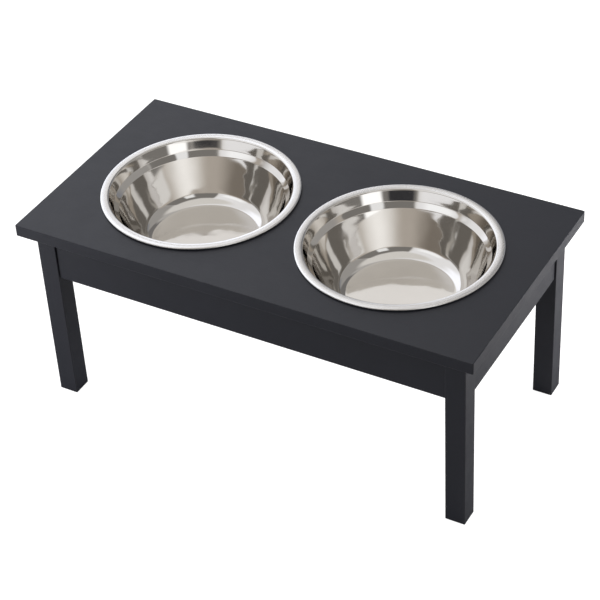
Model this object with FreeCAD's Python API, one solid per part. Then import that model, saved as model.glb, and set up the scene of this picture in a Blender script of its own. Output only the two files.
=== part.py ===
import FreeCAD, Part
import math
import os
from FreeCAD import Vector

# Elevated feeding stand for two lift-out bowls, in millimetres.
# The origin is on the floor under the middle of the stand. +X runs along its length, -Y is the front, +Z is up.

# --- driving dimensions -------------------------------------------------------
TOP_L = 584.0            # top panel length
TOP_W = 304.0            # top panel width
TOP_T = 15.0             # top panel thickness
TOP_Z = 255.0            # height of the panel's upper face
TOP_EDGE = 0.9           # eased outer edges of the panel
TOP_CORNER = 1.6         # vertical corners of the panel
HOLE_R = 110.6           # bowl cut-out radius
HOLE_EDGE = 0.8          # eased upper edge of the cut-outs
BOWL_X = 130.5           # bowl centres stand this far either side of the middle

OVERHANG = 16.0          # panel overhang past the legs, all round
LEG = 24.5               # square leg
LEG_EDGE = 0.9           # eased leg arrises
PAD_T = 1.6              # foot pad thickness
PAD_INSET = 2.6          # foot pad set back from the leg's faces
PAD_EDGE = 0.4

APRON_H = 61.0           # apron depth below the panel
APRON_T = 12.0           # apron thickness
APRON_SET = 2.0          # aprons stand back from the legs' outer faces
APRON_EDGE = 0.8
JOINT_GAP = 0.3          # hairline between an apron's end and its leg
FL_GAP_TOP = 1.5         # the front apron's left end is cut out of square
FL_GAP_LOW = 0.3
BR_GAP = 0.9             # the right apron's back end is a little short

BLOCK_T = 18.0           # corner block, measured across its thickness
BLOCK_H = 40.0
BLOCK_CLEAR = 3.6        # corner block's face to the leg's inner arris
LEG_FLAT = 5.0           # flat worked on the leg's inner arris, depth along the diagonal
BOLT_R = 3.0             # hanger bolt, machine-thread and wood-thread radius
BOLT_CORE = 2.45         # thread root radius
BOLT_PITCH = 1.25
BOLT_OUT = 19.0          # bolt end stands out of the block
BOLT_IN = 15.0           # bolt runs into the leg behind its flat
BOLT_HOLE_R = 3.5        # clearance hole in the block
FIT = 0.05               # radial room round screws, dowels and bolts in wood

WASHER_R = 8.5
WASHER_T = 1.4
NUT_HUB_R = 5.6
NUT_HUB_H = 8.0
NUT_SPAN = 27.0          # across the wings
NUT_WING_H = 13.5
NUT_WING_T = 2.2

SCREW_R = 1.75           # corner block screw
SCREW_HEAD_R = 3.5
SCREW_HEAD_H = 2.3
SCREW_LEN = 19.0
TOP_SCREW_R = 2.0        # top fixing screw
TOP_SCREW_HEAD_R = 3.9
TOP_SCREW_HEAD_H = 2.6
TOP_SCREW_IN = 10.0      # into the top panel
TOP_SCREW_SINK = 12.0    # head let in from the block's lower face
TOP_SCREW_OFF = 9.5      # beside the hanger bolt, along the block

DOWEL_R = 3.0
DOWEL_LEN = 22.0
DOWEL_IN_TOP = 10.0
DOWEL_X = (-150.0, 0.0, 150.0)
DOWEL_Y = (-52.0, 52.0)

SHEET = 0.8              # bowl wall
REST_GAP = 0.2           # rim bead to panel
BEAD_R = 1.7             # rolled edge

# --- levels and planes --------------------------------------------------------
UNDER = TOP_Z - TOP_T
LEG_X = TOP_L / 2 - OVERHANG
LEG_Y = TOP_W / 2 - OVERHANG
AP_X = LEG_X - APRON_SET
AP_Y = LEG_Y - APRON_SET
APRON_LOW = UNDER - APRON_H
BLOCK_LOW = UNDER - BLOCK_H
BOLT_Z = UNDER - BLOCK_H / 2
R2 = math.sqrt(2.0)

parts = {}


# --- helpers ------------------------------------------------------------------
def box(lo, hi):
    return Part.makeBox(hi[0] - lo[0], hi[1] - lo[1], hi[2] - lo[2], Vector(*lo))


def rod(start, along, radius, length):
    return Part.makeCylinder(radius, length, Vector(*start), Vector(*along))


def prism(points, z0, z1):
    loop = [Vector(x, y, z0) for x, y in points]
    loop.append(loop[0])
    return Part.Face(Part.makePolygon(loop)).extrude(Vector(0, 0, z1 - z0))


def edges_where(shape, test):
    return [e for e in shape.Edges if test(e)]


def upright(edge):
    a, b = edge.Vertexes[0].Point, edge.Vertexes[-1].Point
    return abs(a.x - b.x) < 1e-6 and abs(a.y - b.y) < 1e-6 and abs(a.z - b.z) > 1


def at_level(edge, z):
    return all(abs(v.Point.z - z) < 1e-6 for v in edge.Vertexes)


def flip_x(shape):
    return shape.mirror(Vector(0, 0, 0), Vector(1, 0, 0))


def flip_y(shape):
    return shape.mirror(Vector(0, 0, 0), Vector(0, 1, 0))


def four(shape):
    # from the front right corner to all four: front right, front left, back right, back left
    return {
        "front_right": shape,
        "front_left": flip_x(shape),
        "back_right": flip_y(shape),
        "back_left": flip_x(flip_y(shape)),
    }


def spin(points, centre=(0, 0, 0), axis=(0, 0, 1)):
    # closed (radius, height) outline turned round an axis through centre
    loop = [Vector(r, 0, h) for r, h in points]
    loop.append(loop[0])
    solid = Part.Face(Part.makePolygon(loop)).revolve(Vector(0, 0, 0), Vector(0, 0, 1), 360)
    turn = FreeCAD.Rotation(Vector(0, 0, 1), Vector(*axis))
    solid.Placement = FreeCAD.Placement(Vector(*centre), turn)
    return Part.Solid(solid) if solid.ShapeType == "Shell" else solid


def holed(shape, tools):
    for tool in tools:
        shape = shape.cut(tool)
    return shape


# --- front right corner: the diagonal through the leg --------------------------
# s runs outwards along the diagonal (x grows, y falls), t runs across it.
INNER = (LEG_X - LEG, -LEG_Y + LEG)                 # leg's inner arris
S_LEG = (INNER[0] - INNER[1]) / R2
T_MID = (INNER[0] + INNER[1]) / R2
S_FLAT = S_LEG + LEG_FLAT
S_BLOCK = S_LEG - BLOCK_CLEAR
S_IN = S_BLOCK - BLOCK_T
DIAG = (1 / R2, -1 / R2, 0)
INWARD = (-1 / R2, 1 / R2, 0)


def st(s, t, z):
    return ((s + t) / R2, (t - s) / R2, z)


# --- fasteners of the front right corner ---------------------------------------
def thread_outline(start, end, major, root, pitch):
    # zigzag flank outline from start to end along the axis
    turns = int((end - start) / pitch)
    step = (end - start) / turns
    line = []
    for i in range(turns):
        h = start + i * step
        line += [(root, h + 0.10 * step), (major, h + 0.42 * step), (major, h + 0.58 * step), (root, h + 0.90 * step)]
    return line


bolt_back = S_IN - BOLT_OUT
bolt_tip = S_FLAT + BOLT_IN
bolt_len = bolt_tip - bolt_back
machine_end = S_BLOCK - bolt_back - 2.0
wood_start = S_FLAT - bolt_back + 0.8
bolt_line = [(0, 0), (BOLT_CORE - 0.5, 0)]
bolt_line += thread_outline(0.6, machine_end, BOLT_R, BOLT_CORE, BOLT_PITCH)
bolt_line += [(BOLT_R - 0.15, machine_end + 0.5), (BOLT_R - 0.15, wood_start - 0.5)]
bolt_line += thread_outline(wood_start, bolt_len - 4.0, BOLT_R, BOLT_CORE - 0.5, 2.2)
bolt_line += [(BOLT_CORE - 0.5, bolt_len - 3.8), (0.3, bolt_len), (0, bolt_len)]
hanger_bolt = spin(bolt_line, st(bolt_back, T_MID, BOLT_Z), DIAG)

washer = spin(
    [(BOLT_R + 0.3, 0), (WASHER_R - 0.25, 0), (WASHER_R, 0.25), (WASHER_R, WASHER_T - 0.25), (WASHER_R - 0.25, WASHER_T), (BOLT_R + 0.3, WASHER_T)],
    st(S_IN, T_MID, BOLT_Z), INWARD)

# wing nut: a tapered hub with two rounded ears, standing on the washer and facing the middle of the stand
hub = spin(
    [(BOLT_R + 0.1, 0), (NUT_HUB_R, 0), (NUT_HUB_R - 1.3, NUT_HUB_H), (BOLT_R + 0.1, NUT_HUB_H)])
half = NUT_SPAN / 2
ear_r = 4.4
ear_c = (half - ear_r, NUT_WING_H - ear_r)
ear_line = Part.Wire([
    Part.LineSegment(Vector(3.6, 0, 1.2), Vector(5.2, 0, 1.2)).toShape(),
    Part.LineSegment(Vector(5.2, 0, 1.2), Vector(ear_c[0] + ear_r * 0.866, 0, ear_c[1] - ear_r * 0.5)).toShape(),
    Part.Arc(Vector(ear_c[0] + ear_r * 0.866, 0, ear_c[1] - ear_r * 0.5), Vector(ear_c[0] + ear_r * 0.5, 0, ear_c[1] + ear_r * 0.866),
             Vector(ear_c[0] - ear_r * 0.5, 0, ear_c[1] + ear_r * 0.866)).toShape(),
    Part.LineSegment(Vector(ear_c[0] - ear_r * 0.5, 0, ear_c[1] + ear_r * 0.866), Vector(3.6, 0, NUT_HUB_H - 1.0)).toShape(),
    Part.LineSegment(Vector(3.6, 0, NUT_HUB_H - 1.0), Vector(3.6, 0, 1.2)).toShape(),
])
ear = Part.Face(ear_line).extrude(Vector(0, NUT_WING_T, 0)).translated(Vector(0, -NUT_WING_T / 2, 0))
ears = ear.fuse(flip_x(ear))
nut = hub.fuse(ears).cut(Part.makeCylinder(BOLT_R + 0.1, 40, Vector(0, 0, -5)))
nut = nut.removeSplitter()
nut.Placement = FreeCAD.Placement(
    Vector(*st(S_IN - WASHER_T, T_MID, BOLT_Z)),
    FreeCAD.Rotation(Vector(0, 0, 1), Vector(*INWARD)).multiply(FreeCAD.Rotation(Vector(0, 0, 1), 35)))


def pan_screw(start, along, radius, head_r, head_h, length, root):
    # head stands behind start, the threaded shank runs from start along the axis to a point
    line = [(0, -head_h), (head_r * 0.62, -head_h), (head_r * 0.9, -head_h * 0.72), (head_r, -head_h * 0.35), (head_r, 0), (radius, 0), (radius, 3.0)]
    line += thread_outline(3.2, length - 3.2, radius, root, 1.5)
    line += [(root, length - 3.0), (0.2, length), (0, length)]
    screw = spin(line, start, along)
    # cross recess in the head
    slot = Part.makeBox(head_r * 1.1, 0.8, 1.2, Vector(-head_r * 0.55, -0.4, -head_h - 0.1))
    cross = slot.fuse(slot.rotated(Vector(0, 0, 0), Vector(0, 0, 1), 90))
    cross.Placement = FreeCAD.Placement(Vector(*start), FreeCAD.Rotation(Vector(0, 0, 1), Vector(*along)))
    return screw.cut(cross)


# two screws per block: one into the long apron, one into the short apron
AP_IN_X = AP_X - APRON_T
AP_IN_Y = AP_Y - APRON_T
screw_off = 38.0                                     # from the aprons' inner corner
sx = AP_IN_X - screw_off
sy = -AP_IN_Y + screw_off
screw_z = BLOCK_LOW + 10.0
seat = 9.2                                           # head seat to apron face
long_seat = (sx, -AP_IN_Y + seat, screw_z)
short_seat = (AP_IN_X - seat, sy, screw_z)
screw_long = pan_screw(long_seat, (0, -1, 0), SCREW_R, SCREW_HEAD_R, SCREW_HEAD_H, SCREW_LEN, SCREW_R - 0.45)
screw_short = pan_screw(short_seat, (1, 0, 0), SCREW_R, SCREW_HEAD_R, SCREW_HEAD_H, SCREW_LEN, SCREW_R - 0.45)

top_screw_at = st((S_BLOCK + S_IN) / 2, T_MID + TOP_SCREW_OFF, BLOCK_LOW + TOP_SCREW_SINK)
top_screw_len = BLOCK_H - TOP_SCREW_SINK + TOP_SCREW_IN
top_screw = pan_screw(top_screw_at, (0, 0, 1), TOP_SCREW_R, TOP_SCREW_HEAD_R, TOP_SCREW_HEAD_H, top_screw_len, TOP_SCREW_R - 0.5)

# holes those fasteners stand in
bolt_hole_leg = rod(st(S_FLAT - 1.0, T_MID, BOLT_Z), DIAG, BOLT_R + FIT, BOLT_IN + 2.0)
bolt_hole_block = rod(st(S_IN - 1.0, T_MID, BOLT_Z), DIAG, BOLT_HOLE_R, BLOCK_T + 2.0)
long_hole = rod(long_seat, (0, -1, 0), SCREW_R + FIT, SCREW_LEN + 0.6)
short_hole = rod(short_seat, (1, 0, 0), SCREW_R + FIT, SCREW_LEN + 0.6)
long_sink = rod(long_seat, (0, 1, 0), SCREW_HEAD_R + 0.5, 30.0)
short_sink = rod(short_seat, (-1, 0, 0), SCREW_HEAD_R + 0.5, 30.0)
top_hole = rod(top_screw_at, (0, 0, 1), TOP_SCREW_R + FIT, top_screw_len + 0.6)
top_sink = rod(top_screw_at, (0, 0, -1), TOP_SCREW_HEAD_R + 0.4, 30.0)

# --- corner block ----------------------------------------------------------------
block_xy = [
    (S_BLOCK * R2 - AP_IN_Y, -AP_IN_Y),
    (S_IN * R2 - AP_IN_Y, -AP_IN_Y),
    (AP_IN_X, AP_IN_X - S_IN * R2),
    (AP_IN_X, AP_IN_X - S_BLOCK * R2),
]
block = prism(block_xy, BLOCK_LOW, UNDER)
block = block.makeChamfer(0.8, edges_where(block, lambda e: at_level(e, BLOCK_LOW)))
block = holed(block, [bolt_hole_block, long_hole, short_hole, long_sink, short_sink, top_hole, top_sink])

# --- leg and foot pad --------------------------------------------------------------
leg = box((LEG_X - LEG, -LEG_Y, PAD_T), (LEG_X, -LEG_Y + LEG, UNDER))
leg = leg.makeFillet(LEG_EDGE, edges_where(leg, upright))
leg = leg.makeChamfer(0.5, edges_where(leg, lambda e: at_level(e, PAD_T)))
flat = prism([st(S_LEG - 12, T_MID - 20, 0)[:2], st(S_FLAT, T_MID - 20, 0)[:2], st(S_FLAT, T_MID + 20, 0)[:2], st(S_LEG - 12, T_MID + 20, 0)[:2]],
             APRON_LOW + 3.0, UNDER + 1.0)
leg = holed(leg, [flat, bolt_hole_leg])

pad = box((LEG_X - LEG + PAD_INSET, -LEG_Y + PAD_INSET, 0), (LEG_X - PAD_INSET, -LEG_Y + LEG - PAD_INSET, PAD_T))
pad = pad.makeFillet(3.0, edges_where(pad, upright))
pad = pad.makeChamfer(PAD_EDGE, edges_where(pad, lambda e: at_level(e, 0)))

for name, shape in four(leg).items():
    parts["leg_" + name] = shape
for name, shape in four(pad).items():
    parts["foot_pad_" + name] = shape
for name, shape in four(block).items():
    parts["corner_block_" + name] = shape

# --- dowels --------------------------------------------------------------------------
dowel_low = UNDER + DOWEL_IN_TOP - DOWEL_LEN
dowel_line = [(0, 0), (DOWEL_R - 0.8, 0), (DOWEL_R, 1.0), (DOWEL_R, DOWEL_LEN - 1.0), (DOWEL_R - 0.8, DOWEL_LEN), (0, DOWEL_LEN)]
long_dowels = [(x, -AP_Y + APRON_T / 2) for x in DOWEL_X]
short_dowels = [(AP_X - APRON_T / 2, y) for y in DOWEL_Y]
dowel_spots = long_dowels + [(x, -y) for x, y in long_dowels] + short_dowels + [(-x, y) for x, y in short_dowels]
dowels = [spin(dowel_line, (x, y, dowel_low)) for x, y in dowel_spots]
dowel_holes = [rod((x, y, dowel_low - 0.4), (0, 0, 1), DOWEL_R + FIT, DOWEL_LEN + 0.8) for x, y in dowel_spots]

# --- aprons ----------------------------------------------------------------------------
def apron(lo, hi, hair):
    shape = box(lo, hi)
    shape = shape.makeFillet(APRON_EDGE, edges_where(shape, lambda e: at_level(e, lo[2]) and e.Length > 60))
    return holed(shape, hair)


long_end = LEG_X - LEG
short_end = LEG_Y - LEG
long_screw_holes = [long_hole, flip_x(long_hole)]
short_screw_holes = [short_hole, flip_y(short_hole)]

# the front apron's left end leans, so its joint opens towards the panel
front = apron((-long_end, -AP_Y, APRON_LOW), (long_end - JOINT_GAP, -AP_Y + APRON_T, UNDER), long_screw_holes + dowel_holes)
wedge = Part.Face(Part.makePolygon([
    Vector(-long_end - 5, -AP_Y - 5, APRON_LOW - 5), Vector(-long_end + FL_GAP_LOW, -AP_Y - 5, APRON_LOW - 5),
    Vector(-long_end + FL_GAP_LOW, -AP_Y - 5, APRON_LOW), Vector(-long_end + FL_GAP_TOP, -AP_Y - 5, UNDER),
    Vector(-long_end + FL_GAP_TOP, -AP_Y - 5, UNDER + 5), Vector(-long_end - 5, -AP_Y - 5, UNDER + 5),
    Vector(-long_end - 5, -AP_Y - 5, APRON_LOW - 5)])).extrude(Vector(0, APRON_T + 10, 0))
parts["apron_front"] = front.cut(wedge)
back = apron((-long_end + JOINT_GAP, -AP_Y, APRON_LOW), (long_end - JOINT_GAP, -AP_Y + APRON_T, UNDER), long_screw_holes + dowel_holes)
parts["apron_back"] = flip_y(back)
parts["apron_right"] = apron((AP_X - APRON_T, -short_end + JOINT_GAP, APRON_LOW), (AP_X, short_end - BR_GAP, UNDER), short_screw_holes + dowel_holes)
left = apron((AP_X - APRON_T, -short_end + JOINT_GAP, APRON_LOW), (AP_X, short_end - JOINT_GAP, UNDER), short_screw_holes + dowel_holes)
parts["apron_left"] = flip_x(left)

# --- top panel ---------------------------------------------------------------------------
top = box((-TOP_L / 2, -TOP_W / 2, UNDER), (TOP_L / 2, TOP_W / 2, TOP_Z))
top = top.makeFillet(TOP_CORNER, edges_where(top, upright))
top = top.makeFillet(TOP_EDGE, edges_where(top, lambda e: at_level(e, TOP_Z) or at_level(e, UNDER)))
for x in (-BOWL_X, BOWL_X):
    top = top.cut(rod((x, 0, UNDER - 1), (0, 0, 1), HOLE_R, TOP_T + 2))
rims = edges_where(top, lambda e: at_level(e, TOP_Z) and hasattr(e.Curve, "Radius") and abs(e.Curve.Radius - HOLE_R) < 1e-3)
top = top.makeFillet(HOLE_EDGE, rims)
lower_rims = edges_where(top, lambda e: at_level(e, UNDER) and hasattr(e.Curve, "Radius") and abs(e.Curve.Radius - HOLE_R) < 1e-3)
top = top.makeChamfer(0.6, lower_rims)
parts["top_panel"] = holed(top, dowel_holes + list(four(top_hole).values()))

# --- bowls ------------------------------------------------------------------------------------
# inner skin, (radius, height from the rim's crown, corner radius), from the floor's middle to the rolled edge
FLOOR = -70.36
inner_skin = [
    (0.0, FLOOR + 0.5, 0.0),       # floor, slightly crowned
    (48.0, FLOOR, 30.0),
    (72.33, FLOOR, 19.4),          # floor sweeps up into the wall
    (90.15, -41.6, 270.0),         # the wall's shallow curve
    (98.9, -20.6, 2.6),            # wall meets the stacking shoulder
    (104.1, -14.25, 2.6),          # shoulder meets the upper wall
    (109.2, -0.75, 2.4),           # lip
    (114.2, 0.0, 26.0),            # crown of the flange
    (117.5, -0.31, 0.0),           # start of the rolled edge
]


def offset_line(points, d):
    # the same polyline moved d to its right-hand side
    moved = []
    n = len(points)
    segs = []
    for (a, b) in zip(points, points[1:]):
        dx, dz = b[0] - a[0], b[1] - a[1]
        ln = math.hypot(dx, dz)
        nx, nz = dz / ln, -dx / ln
        segs.append(((a[0] + nx * d, a[1] + nz * d), (dx / ln, dz / ln)))
    for i in range(n):
        if i == 0:
            (px, pz), (dx, dz) = segs[0]
            moved.append((0.0, pz - px / dx * dz))
        elif i == n - 1:
            (px, pz), (dx, dz) = segs[-1]
            q = points[-1]
            k = (q[0] - px) * dx + (q[1] - pz) * dz
            moved.append((px + k * dx, pz + k * dz))
        else:
            (ax, az), (adx, adz) = segs[i - 1]
            (bx, bz), (bdx, bdz) = segs[i]
            den = adx * bdz - adz * bdx
            k = ((bx - ax) * bdz - (bz - az) * bdx) / den
            moved.append((ax + k * adx, az + k * adz))
    return moved


def rounded(points, radii):
    # edges of a polyline with its corners rounded, and its two end points
    edges = []
    here = points[0]
    for i in range(1, len(points) - 1):
        a, b, c = points[i - 1], points[i], points[i + 1]
        r = radii[i]
        u = (a[0] - b[0], a[1] - b[1])
        v = (c[0] - b[0], c[1] - b[1])
        lu, lv = math.hypot(*u), math.hypot(*v)
        u, v = (u[0] / lu, u[1] / lu), (v[0] / lv, v[1] / lv)
        cosine = max(-1.0, min(1.0, u[0] * v[0] + u[1] * v[1]))
        angle = math.acos(cosine)
        tangent = r / math.tan(angle / 2)
        p = (b[0] + u[0] * tangent, b[1] + u[1] * tangent)
        q = (b[0] + v[0] * tangent, b[1] + v[1] * tangent)
        w = (u[0] + v[0], u[1] + v[1])
        lw = math.hypot(*w)
        reach = r / math.sin(angle / 2) - r
        m = (b[0] + w[0] / lw * reach, b[1] + w[1] / lw * reach)
        edges.append(Part.LineSegment(Vector(here[0], 0, here[1]), Vector(p[0], 0, p[1])).toShape())
        edges.append(Part.Arc(Vector(p[0], 0, p[1]), Vector(m[0], 0, m[1]), Vector(q[0], 0, q[1])).toShape())
        here = q
    return edges, here


def turn_side(points, i):
    a, b, c = points[i - 1], points[i], points[i + 1]
    return (b[0] - a[0]) * (c[1] - b[1]) - (b[1] - a[1]) * (c[0] - b[0])


skin = [(r, z) for r, z, _ in inner_skin]
radii = [k for _, _, k in inner_skin]
outer = offset_line(skin, SHEET)
outer_radii = [0.0] + [radii[i] + (SHEET if turn_side(skin, i) > 0 else -SHEET) for i in range(1, len(skin) - 1)] + [0.0]

# rolled edge: a closed bead, tangent to the flange's upper skin
ax, az = skin[-2]
bx, bz = skin[-1]
ln = math.hypot(bx - ax, bz - az)
nx, nz = (bz - az) / ln, -(bx - ax) / ln
bead = (bx + nx * BEAD_R, bz + nz * BEAD_R)
RIM_R = bead[0] + BEAD_R
BEAD_LOW = bead[1] - BEAD_R

inner_edges, inner_end = rounded(skin, radii)
inner_edges.append(Part.LineSegment(Vector(inner_end[0], 0, inner_end[1]), Vector(bx, 0, bz)).toShape())
outer_edges, outer_end = rounded(outer, outer_radii)
# where the flange's lower skin runs into the bead
ox, oz = outer[-2]
px, pz = outer[-1]
lo = math.hypot(px - ox, pz - oz)
dx, dz = (px - ox) / lo, (pz - oz) / lo
bq = (ox - bead[0]) * dx + (oz - bead[1]) * dz
cq_ = (ox - bead[0]) ** 2 + (oz - bead[1]) ** 2 - BEAD_R ** 2
k = -bq - math.sqrt(bq * bq - cq_)
meet = (ox + k * dx, oz + k * dz)
outer_edges.append(Part.LineSegment(Vector(outer_end[0], 0, outer_end[1]), Vector(meet[0], 0, meet[1])).toShape())
bead_edge = Part.Arc(Vector(bx, 0, bz), Vector(bead[0] + BEAD_R, 0, bead[1]), Vector(bead[0], 0, BEAD_LOW)).toShape()
bead_edge2 = Part.Arc(Vector(bead[0], 0, BEAD_LOW), Vector(bead[0] - BEAD_R * 0.92, 0, bead[1] - BEAD_R * math.sqrt(1 - 0.92 ** 2)), Vector(meet[0], 0, meet[1])).toShape()
axis_edge = Part.LineSegment(Vector(outer[0][0], 0, outer[0][1]), Vector(skin[0][0], 0, skin[0][1])).toShape()
outline = Part.Wire(Part.__sortEdges__(inner_edges + [bead_edge, bead_edge2] + outer_edges + [axis_edge]))
bowl = Part.Face(outline).revolve(Vector(0, 0, 0), Vector(0, 0, 1), 360)
bowl = Part.Solid(bowl) if bowl.ShapeType == "Shell" else bowl
CROWN_Z = TOP_Z + REST_GAP - BEAD_LOW
parts["bowl_left"] = bowl.translated(Vector(-BOWL_X, 0, CROWN_Z))
parts["bowl_right"] = bowl.translated(Vector(BOWL_X, 0, CROWN_Z))

# --- grouped fasteners ---------------------------------------------------------------------------
parts["hanger_bolts"] = Part.makeCompound(list(four(hanger_bolt).values()))
parts["bolt_washers"] = Part.makeCompound(list(four(washer).values()))
parts["wing_nuts"] = Part.makeCompound(list(four(nut).values()))
parts["corner_block_screws"] = Part.makeCompound(list(four(screw_long).values()) + list(four(screw_short).values()))
parts["top_fixing_screws"] = Part.makeCompound(list(four(top_screw).values()))
parts["apron_dowels"] = Part.makeCompound(dowels)

os.makedirs("parts", exist_ok=True)
for name, shape in parts.items():
    solids = shape.Solids
    bad = [s for s in solids if not s.isValid() or s.Volume <= 0]
    print(name, "solids", len(solids), "volume", round(sum(s.Volume for s in solids), 1), "BAD" if bad or not solids else "ok")
    shape.exportStep("parts/%s.step" % name)
print("crown height", round(CROWN_Z, 3), "rim radius", round(RIM_R, 3))
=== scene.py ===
import math

import bpy
from mathutils import Matrix, Vector, noise


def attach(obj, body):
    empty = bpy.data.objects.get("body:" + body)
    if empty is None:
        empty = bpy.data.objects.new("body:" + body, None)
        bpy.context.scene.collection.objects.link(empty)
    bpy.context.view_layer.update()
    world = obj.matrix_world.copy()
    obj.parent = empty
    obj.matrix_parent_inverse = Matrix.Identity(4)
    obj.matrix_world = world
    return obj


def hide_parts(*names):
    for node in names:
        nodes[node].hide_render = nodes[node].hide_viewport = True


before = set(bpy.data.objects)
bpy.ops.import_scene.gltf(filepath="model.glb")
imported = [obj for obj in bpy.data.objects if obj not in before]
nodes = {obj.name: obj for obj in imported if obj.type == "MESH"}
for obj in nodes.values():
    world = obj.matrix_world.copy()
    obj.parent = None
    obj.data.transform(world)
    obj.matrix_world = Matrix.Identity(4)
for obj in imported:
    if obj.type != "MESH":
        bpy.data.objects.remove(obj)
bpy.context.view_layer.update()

scene = bpy.context.scene
MM = 0.001


# ------------------------------------------------------------------------------------------------
# node helpers
# ------------------------------------------------------------------------------------------------
class Net:
    """Short calls for building a node tree."""

    def __init__(self, tree):
        self.tree = tree
        self.tree.nodes.clear()

    def add(self, kind, **props):
        n = self.tree.nodes.new(kind)
        for k, v in props.items():
            setattr(n, k, v)
        return n

    def put(self, socket, value):
        if isinstance(value, bpy.types.NodeSocket):
            self.tree.links.new(value, socket)
        elif value is not None:
            socket.default_value = value

    def math(self, op, a, b=None, c=None, clamp=False):
        n = self.add("ShaderNodeMath", operation=op, use_clamp=clamp)
        for s, v in zip(n.inputs, (a, b, c)):
            self.put(s, v)
        return n.outputs[0]

    def vec(self, op, a, b=None, out=0):
        n = self.add("ShaderNodeVectorMath", operation=op)
        self.put(n.inputs[0], a)
        if b is not None:
            self.put(n.inputs[1], b)
        return n.outputs[out]

    def scale(self, a, k):
        n = self.add("ShaderNodeVectorMath", operation="SCALE")
        self.put(n.inputs[0], a)
        self.put(n.inputs["Scale"], k)
        return n.outputs[0]

    def split(self, a):
        n = self.add("ShaderNodeSeparateXYZ")
        self.put(n.inputs[0], a)
        return n.outputs

    def join(self, x, y, z):
        n = self.add("ShaderNodeCombineXYZ")
        for s, v in zip(n.inputs, (x, y, z)):
            self.put(s, v)
        return n.outputs[0]

    def place(self, a, move=(0, 0, 0), turn=(0, 0, 0), size=(1, 1, 1)):
        n = self.add("ShaderNodeMapping")
        self.put(n.inputs["Vector"], a)
        n.inputs["Location"].default_value = move
        n.inputs["Rotation"].default_value = turn
        n.inputs["Scale"].default_value = size
        return n.outputs[0]

    def noise(self, a, size, detail=2.0, rough=0.5, warp=0.0):
        n = self.add("ShaderNodeTexNoise")
        self.put(n.inputs["Vector"], a)
        n.inputs["Scale"].default_value = size
        n.inputs["Detail"].default_value = detail
        n.inputs["Roughness"].default_value = rough
        n.inputs["Distortion"].default_value = warp
        return n.outputs[0]

    def cells(self, a, size, feature="F1", jitter=1.0):
        n = self.add("ShaderNodeTexVoronoi", feature=feature)
        self.put(n.inputs["Vector"], a)
        n.inputs["Scale"].default_value = size
        n.inputs["Randomness"].default_value = jitter
        return n.outputs[0]

    def remap(self, x, a, b, c=0.0, d=1.0, kind="LINEAR"):
        n = self.add("ShaderNodeMapRange", interpolation_type=kind, clamp=True)
        self.put(n.inputs["Value"], x)
        n.inputs["From Min"].default_value = a
        n.inputs["From Max"].default_value = b
        n.inputs["To Min"].default_value = c
        n.inputs["To Max"].default_value = d
        return n.outputs[0]

    def mix(self, t, a, b, how="MIX"):
        n = self.add("ShaderNodeMix", data_type="RGBA", blend_type=how)
        n.clamp_factor = True
        self.put(n.inputs[0], t)
        for s, v in ((n.inputs[6], a), (n.inputs[7], b)):
            if isinstance(v, tuple) and len(v) == 3:
                v = (*v, 1.0)
            self.put(s, v)
        return n.outputs[2]

    def bump(self, height, distance, strength=1.0, normal=None):
        n = self.add("ShaderNodeBump")
        n.inputs["Strength"].default_value = strength
        n.inputs["Distance"].default_value = distance
        self.put(n.inputs["Height"], height)
        if normal is not None:
            self.put(n.inputs["Normal"], normal)
        return n.outputs[0]


def finish_of(name):
    """A new material with an empty principled surface: the material, its net and the shader's inputs."""
    m = bpy.data.materials.new(name)
    m.use_nodes = True
    net = Net(m.node_tree)
    out = net.add("ShaderNodeOutputMaterial")
    shader = net.add("ShaderNodeBsdfPrincipled")
    m.node_tree.links.new(shader.outputs[0], out.inputs[0])
    return m, net, shader.inputs


def rgb(r, g, b):
    return (r, g, b, 1.0)


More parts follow.
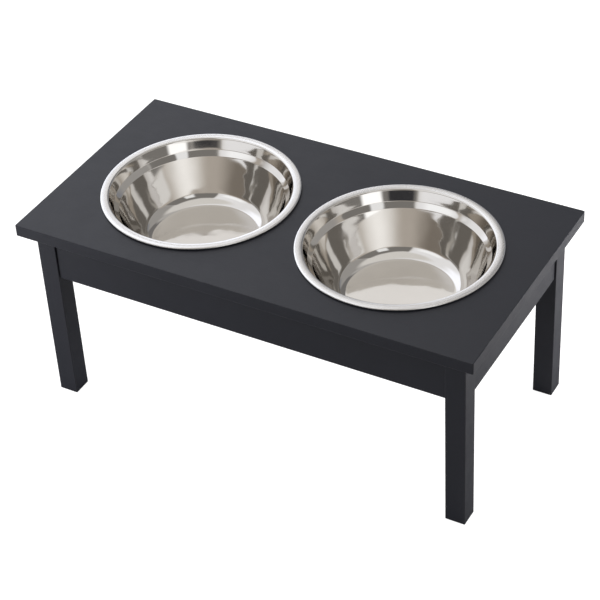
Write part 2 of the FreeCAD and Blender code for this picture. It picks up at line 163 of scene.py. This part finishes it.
# ------------------------------------------------------------------------------------------------
# finishes
# ------------------------------------------------------------------------------------------------
def black_paint(name, grain):
    """Satin black lacquer. grain is the scale of the wood's figure under it along X, Y and Z."""
    m, n, s = finish_of(name)
    at = n.add("ShaderNodeTexCoord").outputs["Object"]
    peel = n.noise(at, 620.0, 2.0, 0.45)
    dust = n.noise(at, 2600.0, 1.0, 0.5)
    cloud = n.noise(at, 9.0, 3.0, 0.55)
    patch = n.noise(at, 46.0, 2.0, 0.5)
    fibre = n.noise(n.place(at, size=grain), 1.0, 3.0, 0.6, 0.15)
    # worn arrises: where a rounded normal leaves the flat one
    soft = n.add("ShaderNodeBevel", samples=4)
    soft.inputs["Radius"].default_value = 1.5 * MM
    flat = n.add("ShaderNodeNewGeometry").outputs["Normal"]
    lean = n.vec("DOT_PRODUCT", soft.outputs[0], flat, out=1)
    edge = n.remap(lean, 0.995, 0.93, 0.0, 1.0, "SMOOTHSTEP")
    rub = n.math("MULTIPLY", edge, n.remap(n.noise(at, 170.0, 3.0, 0.6), 0.38, 0.66, 0.15, 1.0))
    tone = n.mix(n.remap(cloud, 0.3, 0.7), (0.0092, 0.0102, 0.0158), (0.0110, 0.0121, 0.0184))
    tone = n.mix(n.math("MULTIPLY", rub, 0.55), tone, (0.050, 0.050, 0.054))
    speck = n.remap(n.cells(at, 330.0), 0.05, 0.11, 1.0, 0.0, "SMOOTHSTEP")
    rare = n.remap(n.noise(at, 60.0, 1.0, 0.5), 0.60, 0.68, 0.0, 1.0)
    tone = n.mix(n.math("MULTIPLY", n.math("MULTIPLY", speck, rare), 0.30), tone, (0.060, 0.060, 0.064))
    n.put(s["Base Color"], tone)
    rough = n.math("ADD", n.remap(patch, 0.25, 0.75, 0.40, 0.46), n.remap(fibre, 0.3, 0.7, -0.02, 0.02))
    rough = n.math("SUBTRACT", rough, n.math("MULTIPLY", rub, 0.10))
    n.put(s["Roughness"], rough)
    s["Specular IOR Level"].default_value = 0.46
    s["IOR"].default_value = 1.5
    skin = n.bump(peel, 0.0000075, 1.0)
    skin = n.bump(fibre, 0.000012, 1.0, skin)
    skin = n.bump(dust, 0.0000016, 1.0, skin)
    n.put(s["Normal"], skin)
    return m


def ring_coords(n):
    """Coordinates that run round a turned piece: (cos, sin, height) with the distance from the axis."""
    at = n.add("ShaderNodeTexCoord").outputs["Object"]
    x, y, z = n.split(at)
    r = n.vec("LENGTH", n.join(x, y, 0.0), out=1)
    cx = n.math("DIVIDE", x, n.math("MAXIMUM", r, 0.0005))
    cy = n.math("DIVIDE", y, n.math("MAXIMUM", r, 0.0005))
    return at, r, cx, cy, z


def scratches(n, at, size, angle, thin):
    """Sparse straight hairlines in one direction."""
    turned = n.place(at, turn=(0.0, 0.0, angle), size=(size, size * 0.035, size))
    line = n.noise(turned, 1.0, 2.0, 0.5)
    return n.remap(n.math("ABSOLUTE", n.math("SUBTRACT", line, 0.5)), 0.0, thin, 1.0, 0.0, "SMOOTHSTEP")


def stainless(name, low, high, colour_a, colour_b, groove, dent):
    """Polished steel: roughness from low to high, turned polishing lines groove deep and dents dent deep, in metres."""
    m, n, s = finish_of(name)
    at, r, cx, cy, z = ring_coords(n)
    where = n.add("ShaderNodeObjectInfo").outputs["Location"]
    run = n.math("ADD", r, n.math("MULTIPLY", z, 0.8))
    lines = n.noise(n.join(n.math("MULTIPLY", cx, 5.0), n.math("MULTIPLY", cy, 5.0), n.math("MULTIPLY", run, 2600.0)), 1.0, 3.0, 0.65)
    bands = n.noise(n.join(n.math("MULTIPLY", cx, 1.5), n.math("MULTIPLY", cy, 1.5), n.math("MULTIPLY", run, 420.0)), 1.0, 2.0, 0.5)
    own = n.vec("ADD", at, n.scale(where, 3.7))
    haze = n.noise(own, 24.0, 3.0, 0.55)
    wipe = n.noise(n.place(own, turn=(0.3, 0.2, 0.6), size=(60.0, 14.0, 30.0)), 1.0, 2.0, 0.5)
    hair = n.math("MAXIMUM", scratches(n, own, 320.0, 0.5, 0.010), scratches(n, own, 280.0, 2.0, 0.009))
    n.put(s["Base Color"], n.mix(n.remap(haze, 0.3, 0.7), colour_a, colour_b))
    s["Metallic"].default_value = 1.0
    span = high - low
    rough = n.math("ADD", n.remap(haze, 0.3, 0.72, low, low + span * 0.6), n.remap(lines, 0.35, 0.7, 0.0, span * 0.3))
    rough = n.math("ADD", rough, n.remap(wipe, 0.5, 0.75, 0.0, span * 0.25))
    rough = n.math("ADD", rough, n.math("MULTIPLY", hair, span * 0.5))
    n.put(s["Roughness"], rough)
    body = n.bump(n.noise(own, 70.0, 2.0, 0.5), dent, 1.0)
    body = n.bump(bands, groove * 2.0, 1.0, body)
    body = n.bump(lines, groove, 1.0, body)
    n.put(s["Normal"], body)
    return m


def bare_pine(name, turn):
    """Planed softwood, its grain along the block after a turn about Z."""
    m, n, s = finish_of(name)
    at = n.add("ShaderNodeTexCoord").outputs["Object"]
    along = n.place(at, turn=(0.0, 0.0, turn))
    x, y, z = n.split(along)
    sway = n.math("MULTIPLY", n.math("SUBTRACT", n.noise(along, 16.0, 2.0, 0.5), 0.5), 0.012)
    yy = n.math("ADD", y, sway)
    deep = n.math("ADD", z, n.math("MULTIPLY", sway, 0.6))
    ring = n.vec("LENGTH", n.join(0.0, n.math("ADD", yy, 0.03), n.math("SUBTRACT", deep, 0.16)), out=1)
    wave = n.math("FRACT", n.math("MULTIPLY", ring, 290.0))
    late = n.remap(wave, 0.45, 0.92, 0.0, 1.0, "SMOOTHSTEP")
    early = n.remap(wave, 0.92, 1.0, 1.0, 0.0, "SMOOTHSTEP")
    ringed = n.math("MULTIPLY", late, early)
    fibre = n.noise(n.join(n.math("MULTIPLY", x, 55.0), n.math("MULTIPLY", y, 1500.0), n.math("MULTIPLY", z, 1500.0)), 1.0, 3.0, 0.6)
    tone = n.mix(ringed, (0.68, 0.49, 0.28), (0.47, 0.27, 0.115))
    tone = n.mix(n.remap(fibre, 0.3, 0.75, 0.0, 0.45), tone, (0.60, 0.41, 0.22))
    tone = n.mix(n.remap(n.noise(at, 30.0, 2.0, 0.5), 0.45, 0.75, 0.0, 0.35), tone, (0.55, 0.38, 0.20))
    n.put(s["Base Color"], tone)
    n.put(s["Roughness"], n.remap(fibre, 0.25, 0.75, 0.52, 0.70))
    s["Specular IOR Level"].default_value = 0.30
    grain = n.bump(fibre, 0.00006, 1.0)
    n.put(s["Normal"], n.bump(ringed, 0.00004, 1.0, grain))
    return m


def zinc(name):
    """Bright zinc plate on small hardware."""
    m, n, s = finish_of(name)
    at = n.add("ShaderNodeTexCoord").outputs["Object"]
    mottle = n.noise(at, 420.0, 3.0, 0.6)
    stain = n.noise(at, 90.0, 2.0, 0.5)
    tone = n.mix(n.remap(mottle, 0.3, 0.7), (0.58, 0.60, 0.62), (0.70, 0.71, 0.71))
    tone = n.mix(n.remap(stain, 0.52, 0.72, 0.0, 0.35), tone, (0.60, 0.57, 0.47))
    n.put(s["Base Color"], tone)
    s["Metallic"].default_value = 1.0
    n.put(s["Roughness"], n.remap(mottle, 0.25, 0.75, 0.24, 0.42))
    n.put(s["Normal"], n.bump(n.noise(at, 1500.0, 2.0, 0.5), 0.00001, 1.0))
    return m


def rubber(name):
    """Matt black foot rubber."""
    m, n, s = finish_of(name)
    at = n.add("ShaderNodeTexCoord").outputs["Object"]
    grit = n.noise(at, 1400.0, 3.0, 0.6)
    n.put(s["Base Color"], n.mix(n.remap(n.noise(at, 160.0, 2.0, 0.5), 0.3, 0.7), (0.020, 0.020, 0.021), (0.034, 0.034, 0.035)))
    n.put(s["Roughness"], n.remap(grit, 0.3, 0.7, 0.68, 0.84))
    s["Specular IOR Level"].default_value = 0.3
    n.put(s["Normal"], n.bump(grit, 0.00003, 1.0))
    return m


PAINT_PANEL = black_paint("black_paint_panel", (55.0, 420.0, 420.0))
PAINT_X = black_paint("black_paint_long", (26.0, 700.0, 700.0))
PAINT_Y = black_paint("black_paint_short", (700.0, 26.0, 700.0))
PAINT_Z = black_paint("black_paint_leg", (700.0, 700.0, 26.0))
PINE_A = bare_pine("bare_pine_a", math.radians(-45))
PINE_B = bare_pine("bare_pine_b", math.radians(45))
PINE_UP = bare_pine("bare_pine_dowel", 0.0)
ZINC = zinc("zinc_steel")
RUBBER = rubber("foot_rubber")
MIRROR = stainless("polished_stainless", 0.045, 0.080, (0.655, 0.633, 0.602), (0.690, 0.668, 0.636), 0.0000006, 0.0000030)
RIM = stainless("polished_stainless_rim", 0.22, 0.28, (0.812, 0.802, 0.788), (0.840, 0.830, 0.816), 0.0000004, 0.0000012)
OUTSIDE = stainless("polished_stainless_outside", 0.16, 0.30, (0.66, 0.65, 0.635), (0.74, 0.73, 0.715), 0.0000030, 0.0000040)


def dress(node, material):
    mesh = nodes[node].data
    mesh.materials.clear()
    mesh.materials.append(material)


dress("top_panel", PAINT_PANEL)
for end in ("front", "back"):
    dress("apron_" + end, PAINT_X)
    for side in ("left", "right"):
        dress(f"leg_{end}_{side}", PAINT_Z)
        dress(f"foot_pad_{end}_{side}", RUBBER)
        dress(f"corner_block_{end}_{side}", PINE_A if (end == "front") == (side == "right") else PINE_B)
for side in ("left", "right"):
    dress("apron_" + side, PAINT_Y)
for node in ("hanger_bolts", "bolt_washers", "wing_nuts", "corner_block_screws", "top_fixing_screws"):
    dress(node, ZINC)
dress("apron_dowels", PINE_UP)


# ------------------------------------------------------------------------------------------------
# bowls: pressed sheet turned from one section, in millimetres from the rim's crown
# ------------------------------------------------------------------------------------------------
BOWL_X = 130.5
CROWN_Z = 258.903
SHEET = 0.8
BEAD_R = 1.7
SKIN = [
    (0.0, -69.86, 0.0), (48.0, -70.36, 30.0), (72.33, -70.36, 19.4), (90.15, -41.6, 270.0), (98.9, -20.6, 2.6),
    (104.1, -14.25, 2.6), (109.2, -0.75, 2.4), (114.2, 0.0, 26.0), (117.5, -0.31, 0.0),
]
AROUND = 360


def shifted(points, d):
    """The polyline moved d to its right-hand side."""
    segs = []
    for a, b in zip(points, points[1:]):
        t = Vector(b) - Vector(a)
        t.normalize()
        segs.append((Vector(a) + Vector((t.y, -t.x)) * d, t))
    first, last = segs[0], segs[-1]
    out = [(0.0, first[0].y - first[0].x / first[1].x * first[1].y)]
    for (pa, ta), (pb, tb) in zip(segs, segs[1:]):
        den = ta.x * tb.y - ta.y * tb.x
        k = ((pb.x - pa.x) * tb.y - (pb.y - pa.y) * tb.x) / den
        out.append(tuple(pa + ta * k))
    q = Vector(points[-1])
    out.append(tuple(last[0] + last[1] * (q - last[0]).dot(last[1])))
    return out


def traced(points, radii, step=2.6, turn=4.0):
    """Points along a polyline whose corners are rounded, with each one's corner or run number."""
    line = [(Vector(points[0]), 0)]

    def straight(to, tag):
        start = line[-1][0]
        pieces = max(1, int(math.ceil((to - start).length / step)))
        for i in range(1, pieces + 1):
            line.append((start.lerp(to, i / pieces), tag))

    for i in range(1, len(points) - 1):
        a, b, c = Vector(points[i - 1]), Vector(points[i]), Vector(points[i + 1])
        u, v = (a - b).normalized(), (c - b).normalized()
        angle = u.angle(v)
        cut = radii[i] / math.tan(angle / 2)
        p, q = b + u * cut, b + v * cut
        straight(p, i - 0.5)
        centre = b + (u + v).normalized() * (radii[i] / math.sin(angle / 2))
        swing = math.pi - angle
        pieces = max(3, int(math.ceil(math.degrees(swing) / turn)), int(math.ceil(radii[i] * swing / step)))
        s0, s1 = p - centre, q - centre
        for k in range(1, pieces + 1):
            t = k / pieces
            arm = (s0 * math.sin((1 - t) * swing) + s1 * math.sin(t * swing)) / math.sin(swing)
            line.append((centre + arm, float(i)))
    straight(Vector(points[-1]), len(points) - 1.5)
    return line


def bowl_section():
    skin = [(r, z) for r, z, _ in SKIN]
    radii = [k for _, _, k in SKIN]
    outer = shifted(skin, SHEET)
    outer_radii = [0.0]
    for i in range(1, len(skin) - 1):
        a, b, c = skin[i - 1], skin[i], skin[i + 1]
        left = (b[0] - a[0]) * (c[1] - b[1]) - (b[1] - a[1]) * (c[0] - b[0]) > 0
        outer_radii.append(radii[i] + (SHEET if left else -SHEET))
    outer_radii.append(0.0)
    inside = traced(skin, radii)
    # rolled edge
    a, b = Vector(skin[-2]), Vector(skin[-1])
    t = (b - a).normalized()
    bead = b + Vector((t.y, -t.x)) * BEAD_R
    o, p = Vector(outer[-2]), Vector(outer[-1])
    d = (p - o).normalized()
    bq = (o - bead).dot(d)
    k = -bq - math.sqrt(bq * bq - (o - bead).length_squared + BEAD_R ** 2)
    meet = o + d * k
    start = math.atan2(b.y - bead.y, b.x - bead.x)
    end = math.atan2(meet.y - bead.y, meet.x - bead.x)
    if end > start:
        end -= 2 * math.pi
    steps = 36
    rolled = [bead + Vector((math.cos(start + (end - start) * i / steps), math.sin(start + (end - start) * i / steps))) * BEAD_R for i in range(1, steps)]
    outer[-1] = tuple(meet)
    outside = traced(outer, outer_radii)
    section = [(q, "mirror" if tag <= 6.0 else "rim") for q, tag in inside]
    section += [(q, "rim") for q in rolled]
    section += [(q, "outside") for q, _ in reversed(outside)]
    return section


def sway(p, seed):
    """How far the pressed sheet stands off its true surface at a point, in millimetres."""
    q = Vector((p.x + 517.0 * seed, p.y - 233.0 * seed, p.z))
    wide = noise.noise(q / 42.0)
    mid = noise.noise(q / 17.0 + Vector((7.1, 3.3, 1.7)))
    fine = noise.noise(q / 7.5 + Vector((2.9, 8.3, 4.1)))
    # marks of the drawing, which run up the wall
    drawn = noise.noise(Vector((p.x / 11.0 + 31.0 * seed, p.y / 11.0 - 17.0 * seed, p.z / 70.0)))
    ripple = noise.noise(Vector((p.x / 21.0 - 11.0 * seed, p.y / 21.0 + 5.0 * seed, p.z / 7.0)))
    return 0.085 * wide + 0.085 * mid + 0.009 * fine + 0.036 * drawn + 0.050 * ripple


def make_bowl(name, x, seed):
    section = bowl_section()
    count = len(section)
    verts, faces, mats = [], [], []
    kinds = {"mirror": 0, "rim": 1, "outside": 2}
    rows = []
    for i, (q, kind) in enumerate(section):
        before = section[max(0, i - 1)][0]
        after = section[min(count - 1, i + 1)][0]
        t = (after - before).normalized()
        off = Vector((-t.y, t.x))
        if kind == "outside":
            off = -off
        if q.x < 1e-6:
            rows.append([len(verts)])
            verts.append(Vector((0.0, 0.0, q.y)))
            continue
        hold = min(1.0, max(0.0, (-1.5 - q.y) / 14.0))
        hold *= 0.60 if q.y < -66.0 else 1.0
        row = []
        for j in range(AROUND):
            a = 2 * math.pi * j / AROUND
            p = Vector((q.x * math.cos(a), q.x * math.sin(a), q.y))
            d = sway(p, seed) * hold
            r = q.x + off.x * d
            row.append(len(verts))
            verts.append(Vector((r * math.cos(a), r * math.sin(a), q.y + off.y * d)))
        rows.append(row)
    for i in range(count - 1):
        kind = section[i + 1][1] if section[i][1] == "mirror" and section[i + 1][1] == "mirror" else section[i + 1][1]
        a, b = rows[i], rows[i + 1]
        for j in range(AROUND):
            k = (j + 1) % AROUND
            if len(a) == 1 and len(b) == 1:
                continue
            if len(a) == 1:
                faces.append((a[0], b[j], b[k]))
            elif len(b) == 1:
                faces.append((a[j], b[0], a[k]))
            else:
                faces.append((a[j], b[j], b[k], a[k]))
            mats.append(kinds[kind])
    mesh = bpy.data.meshes.new(name)
    mesh.from_pydata([v * MM for v in verts], [], faces)
    for m in (MIRROR, RIM, OUTSIDE):
        mesh.materials.append(m)
    mesh.polygons.foreach_set("material_index", mats)
    mesh.polygons.foreach_set("use_smooth", [True] * len(faces))
    mesh.validate()
    mesh.update()
    o = bpy.data.objects.new(name, mesh)
    o.location = (x * MM, 0.0, CROWN_Z * MM)
    scene.collection.objects.link(o)
    return o


for side, x, seed in (("left", -BOWL_X, 1.0), ("right", BOWL_X, 2.0)):
    shell = make_bowl("bowl_shell_" + side, x, seed)
    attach(shell, side + "_bowl")
    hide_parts("bowl_" + side)


# ------------------------------------------------------------------------------------------------
# studio
# ------------------------------------------------------------------------------------------------
def pale_floor():
    """A pale matt floor. Seen straight on it is lifted to near white, as a cut-out background is."""
    m = bpy.data.materials.new("pale_floor")
    m.use_nodes = True
    n = Net(m.node_tree)
    out = n.add("ShaderNodeOutputMaterial")
    at = n.add("ShaderNodeTexCoord").outputs["Object"]
    matt = n.add("ShaderNodeBsdfDiffuse")
    n.put(matt.inputs["Color"], n.mix(n.remap(n.noise(at, 3.0, 2.0, 0.5), 0.3, 0.7), (0.340, 0.340, 0.340), (0.350, 0.350, 0.350)))
    glow = n.add("ShaderNodeEmission")
    glow.inputs["Color"].default_value = rgb(1.0, 1.0, 1.0)
    n.put(glow.inputs["Strength"], n.math("MULTIPLY", n.add("ShaderNodeLightPath").outputs["Is Camera Ray"], 0.95))
    both = n.add("ShaderNodeAddShader")
    m.node_tree.links.new(matt.outputs[0], both.inputs[0])
    m.node_tree.links.new(glow.outputs[0], both.inputs[1])
    m.node_tree.links.new(both.outputs[0], out.inputs["Surface"])
    return m


half = 40.0
ground = bpy.data.meshes.new("studio_floor")
ground.from_pydata([(-half, -half, 0), (half, -half, 0), (half, half, 0), (-half, half, 0)], [], [(0, 1, 2, 3)])
ground.materials.append(pale_floor())
floor = bpy.data.objects.new("studio_floor", ground)
scene.collection.objects.link(floor)

# The studio round the object: azimuth 0 is in front (-Y), 90 to the right (+X), in degrees, with elevation.
# Each panel: azimuth from, to, elevation from, to, softness of its sides and of its ends, colour.
ROOM = (0.865, 0.85, 0.828)
PANELS = [
    # (az0, az1, el0, el1, soft_az, soft_el, colour)
    (-155, 3, -10, 66, 10, 10, (1.08, 1.09, 1.13)),       # white wall on the left
    (-148, -96, -10, 50, 22, 12, (1.46, 1.51, 1.65)),      # brighter at its far end
    (5, 104, -10, 62, 5, 8, (0.25, 0.24, 0.23)),         # darker room in front and on the right
    (104, 190, -10, 58, 6, 10, (0.42, 0.41, 0.40)),        # back of the room on the right
    (156, 206, -10, 32, 10, 8, (0.28, 0.29, 0.32)),        # foot of the back wall
    (176, 214, 44, 60, 8, 8, (0.55, 0.54, 0.53)),
    (176, 205, 27, 48, 6, 6, (0.22, 0.215, 0.215)),
    (203, 217.5, 34, 46, 3, 3, (1.03, 1.015, 1.01)),          # white board behind
    (199, 226, 29, 34.95, 5, 0.8, (0.54, 0.51, 0.48)),       # its foot
    (-52, -8, 33, 47, 14, 5, (1.30, 1.33, 1.38)),           # soft box, front left
    (48, 65, -10, 47.5, 5, 5, (1.12, 1.14, 1.17)),           # tall soft box, front right
    (-58, 112, 9.3, 30, 10, 1.6, (0.55, 0.505, 0.455)),       # band of room over the table
    (-58, -4, 9.3, 26, 34, 1.6, (0.25, 0.22, 0.19)),
    (37, 74, 9.3, 28, 36, 1.6, (1.20, 1.19, 1.18)),
    (84, 112, 9.3, 22, 8, 2.4, (0.90, 0.89, 0.88)),
    (9, 38, -10, 9.3, 5, 1.6, (0.045, 0.045, 0.05)),         # dark opening at the camera
    (46, 69, -10, 9.3, 6, 1.6, (1.55, 1.57, 1.60)),
]


def build_world():
    w = bpy.data.worlds.new("studio")
    scene.world = w
    w.use_nodes = True
    n = Net(w.node_tree)
    out = n.add("ShaderNodeOutputWorld")
    way = n.add("ShaderNodeTexCoord").outputs["Generated"]
    x, y, z = n.split(way)
    az = n.math("ARCTAN2", x, n.math("MULTIPLY", y, -1.0))
    el = n.math("ARCSINE", n.math("MINIMUM", n.math("MAXIMUM", z, -1.0), 1.0))
    colour = rgb(*ROOM)
    for a0, a1, e0, e1, sa, se, c in PANELS:
        mid, wide = math.radians((a0 + a1) / 2), math.radians((a1 - a0) / 2)
        s = math.radians(sa) / 2
        gap = n.add("ShaderNodeMath", operation="WRAP")
        n.put(gap.inputs[0], n.math("SUBTRACT", az, mid))
        gap.inputs[1].default_value = math.pi
        gap.inputs[2].default_value = -math.pi
        across = n.remap(n.math("ABSOLUTE", gap.outputs[0]), wide - s, wide + s, 1.0, 0.0, "SMOOTHSTEP")
        k = math.radians(se) / 2
        low = n.remap(el, math.radians(e0) - k, math.radians(e0) + k, 0.0, 1.0, "SMOOTHSTEP")
        high = n.remap(el, math.radians(e1) - k, math.radians(e1) + k, 1.0, 0.0, "SMOOTHSTEP")
        colour = n.mix(n.math("MULTIPLY", across, n.math("MULTIPLY", low, high)), colour, c)
    lit = n.add("ShaderNodeBackground")
    n.put(lit.inputs["Color"], colour)
    lit.inputs["Strength"].default_value = 1.0
    plain = n.add("ShaderNodeBackground")
    plain.inputs["Color"].default_value = rgb(0.97, 0.97, 0.97)
    seen = n.add("ShaderNodeLightPath").outputs["Is Camera Ray"]
    pick = n.add("ShaderNodeMixShader")
    n.put(pick.inputs[0], seen)
    w.node_tree.links.new(lit.outputs[0], pick.inputs[1])
    w.node_tree.links.new(plain.outputs[0], pick.inputs[2])
    w.node_tree.links.new(pick.outputs[0], out.inputs["Surface"])


build_world()


def flood(name, at, aim, size, watts, colour):
    """A soft lamp that only washes matt surfaces, outside the picture."""
    data = bpy.data.lights.new(name, "AREA")
    data.shape = "DISK"
    data.size = size
    data.energy = watts
    data.color = colour
    lamp = bpy.data.objects.new(name, data)
    lamp.location = at
    lamp.rotation_euler = (Vector(aim) - Vector(at)).to_track_quat("-Z", "Y").to_euler()
    lamp.visible_glossy = False
    lamp.visible_camera = False
    scene.collection.objects.link(lamp)


flood("floor_wash_left", (-0.88, -0.62, 0.30), (-0.45, -0.33, 0.0), 0.30, 6.4, (1.0, 1.0, 1.03))
flood("floor_wash_right", (0.78, 0.58, 0.30), (0.45, 0.27, 0.0), 0.30, 9.4, (1.0, 0.985, 0.985))

scene.view_settings.view_transform = "Standard"
scene.view_settings.look = "None"
scene.view_settings.exposure = 0.0
scene.view_settings.gamma = 1.0

# ------------------------------------------------------------------------------------------------
# camera
# ------------------------------------------------------------------------------------------------
FOCAL_PX, AZ, EL, ROLL, DIST = 1905.0, 31.04, 37.75, -3.50, 2.0724
TARGET = Vector((0.07674, -0.13381, 0.255))


def place_camera():
    data = bpy.data.cameras.new("camera")
    cam = bpy.data.objects.new("camera", data)
    scene.collection.objects.link(cam)
    a, e, r = math.radians(AZ), math.radians(EL), math.radians(ROLL)
    back = Vector((math.sin(a) * math.cos(e), -math.cos(a) * math.cos(e), math.sin(e)))
    right = (-back).cross(Vector((0, 0, 1))).normalized()
    up = right.cross(-back)
    right, up = right * math.cos(r) + up * math.sin(r), up * math.cos(r) - right * math.sin(r)
    turn = Matrix((right, up, back)).transposed()
    cam.matrix_world = Matrix.Translation(TARGET + back * DIST) @ turn.to_4x4()
    data.sensor_width = 36.0
    data.lens = FOCAL_PX / 600.0 * 36.0
    data.clip_start, data.clip_end = 0.05, 200.0
    data.dof.use_dof = False
    scene.camera = cam


place_camera()

bpy.context.view_layer.update()
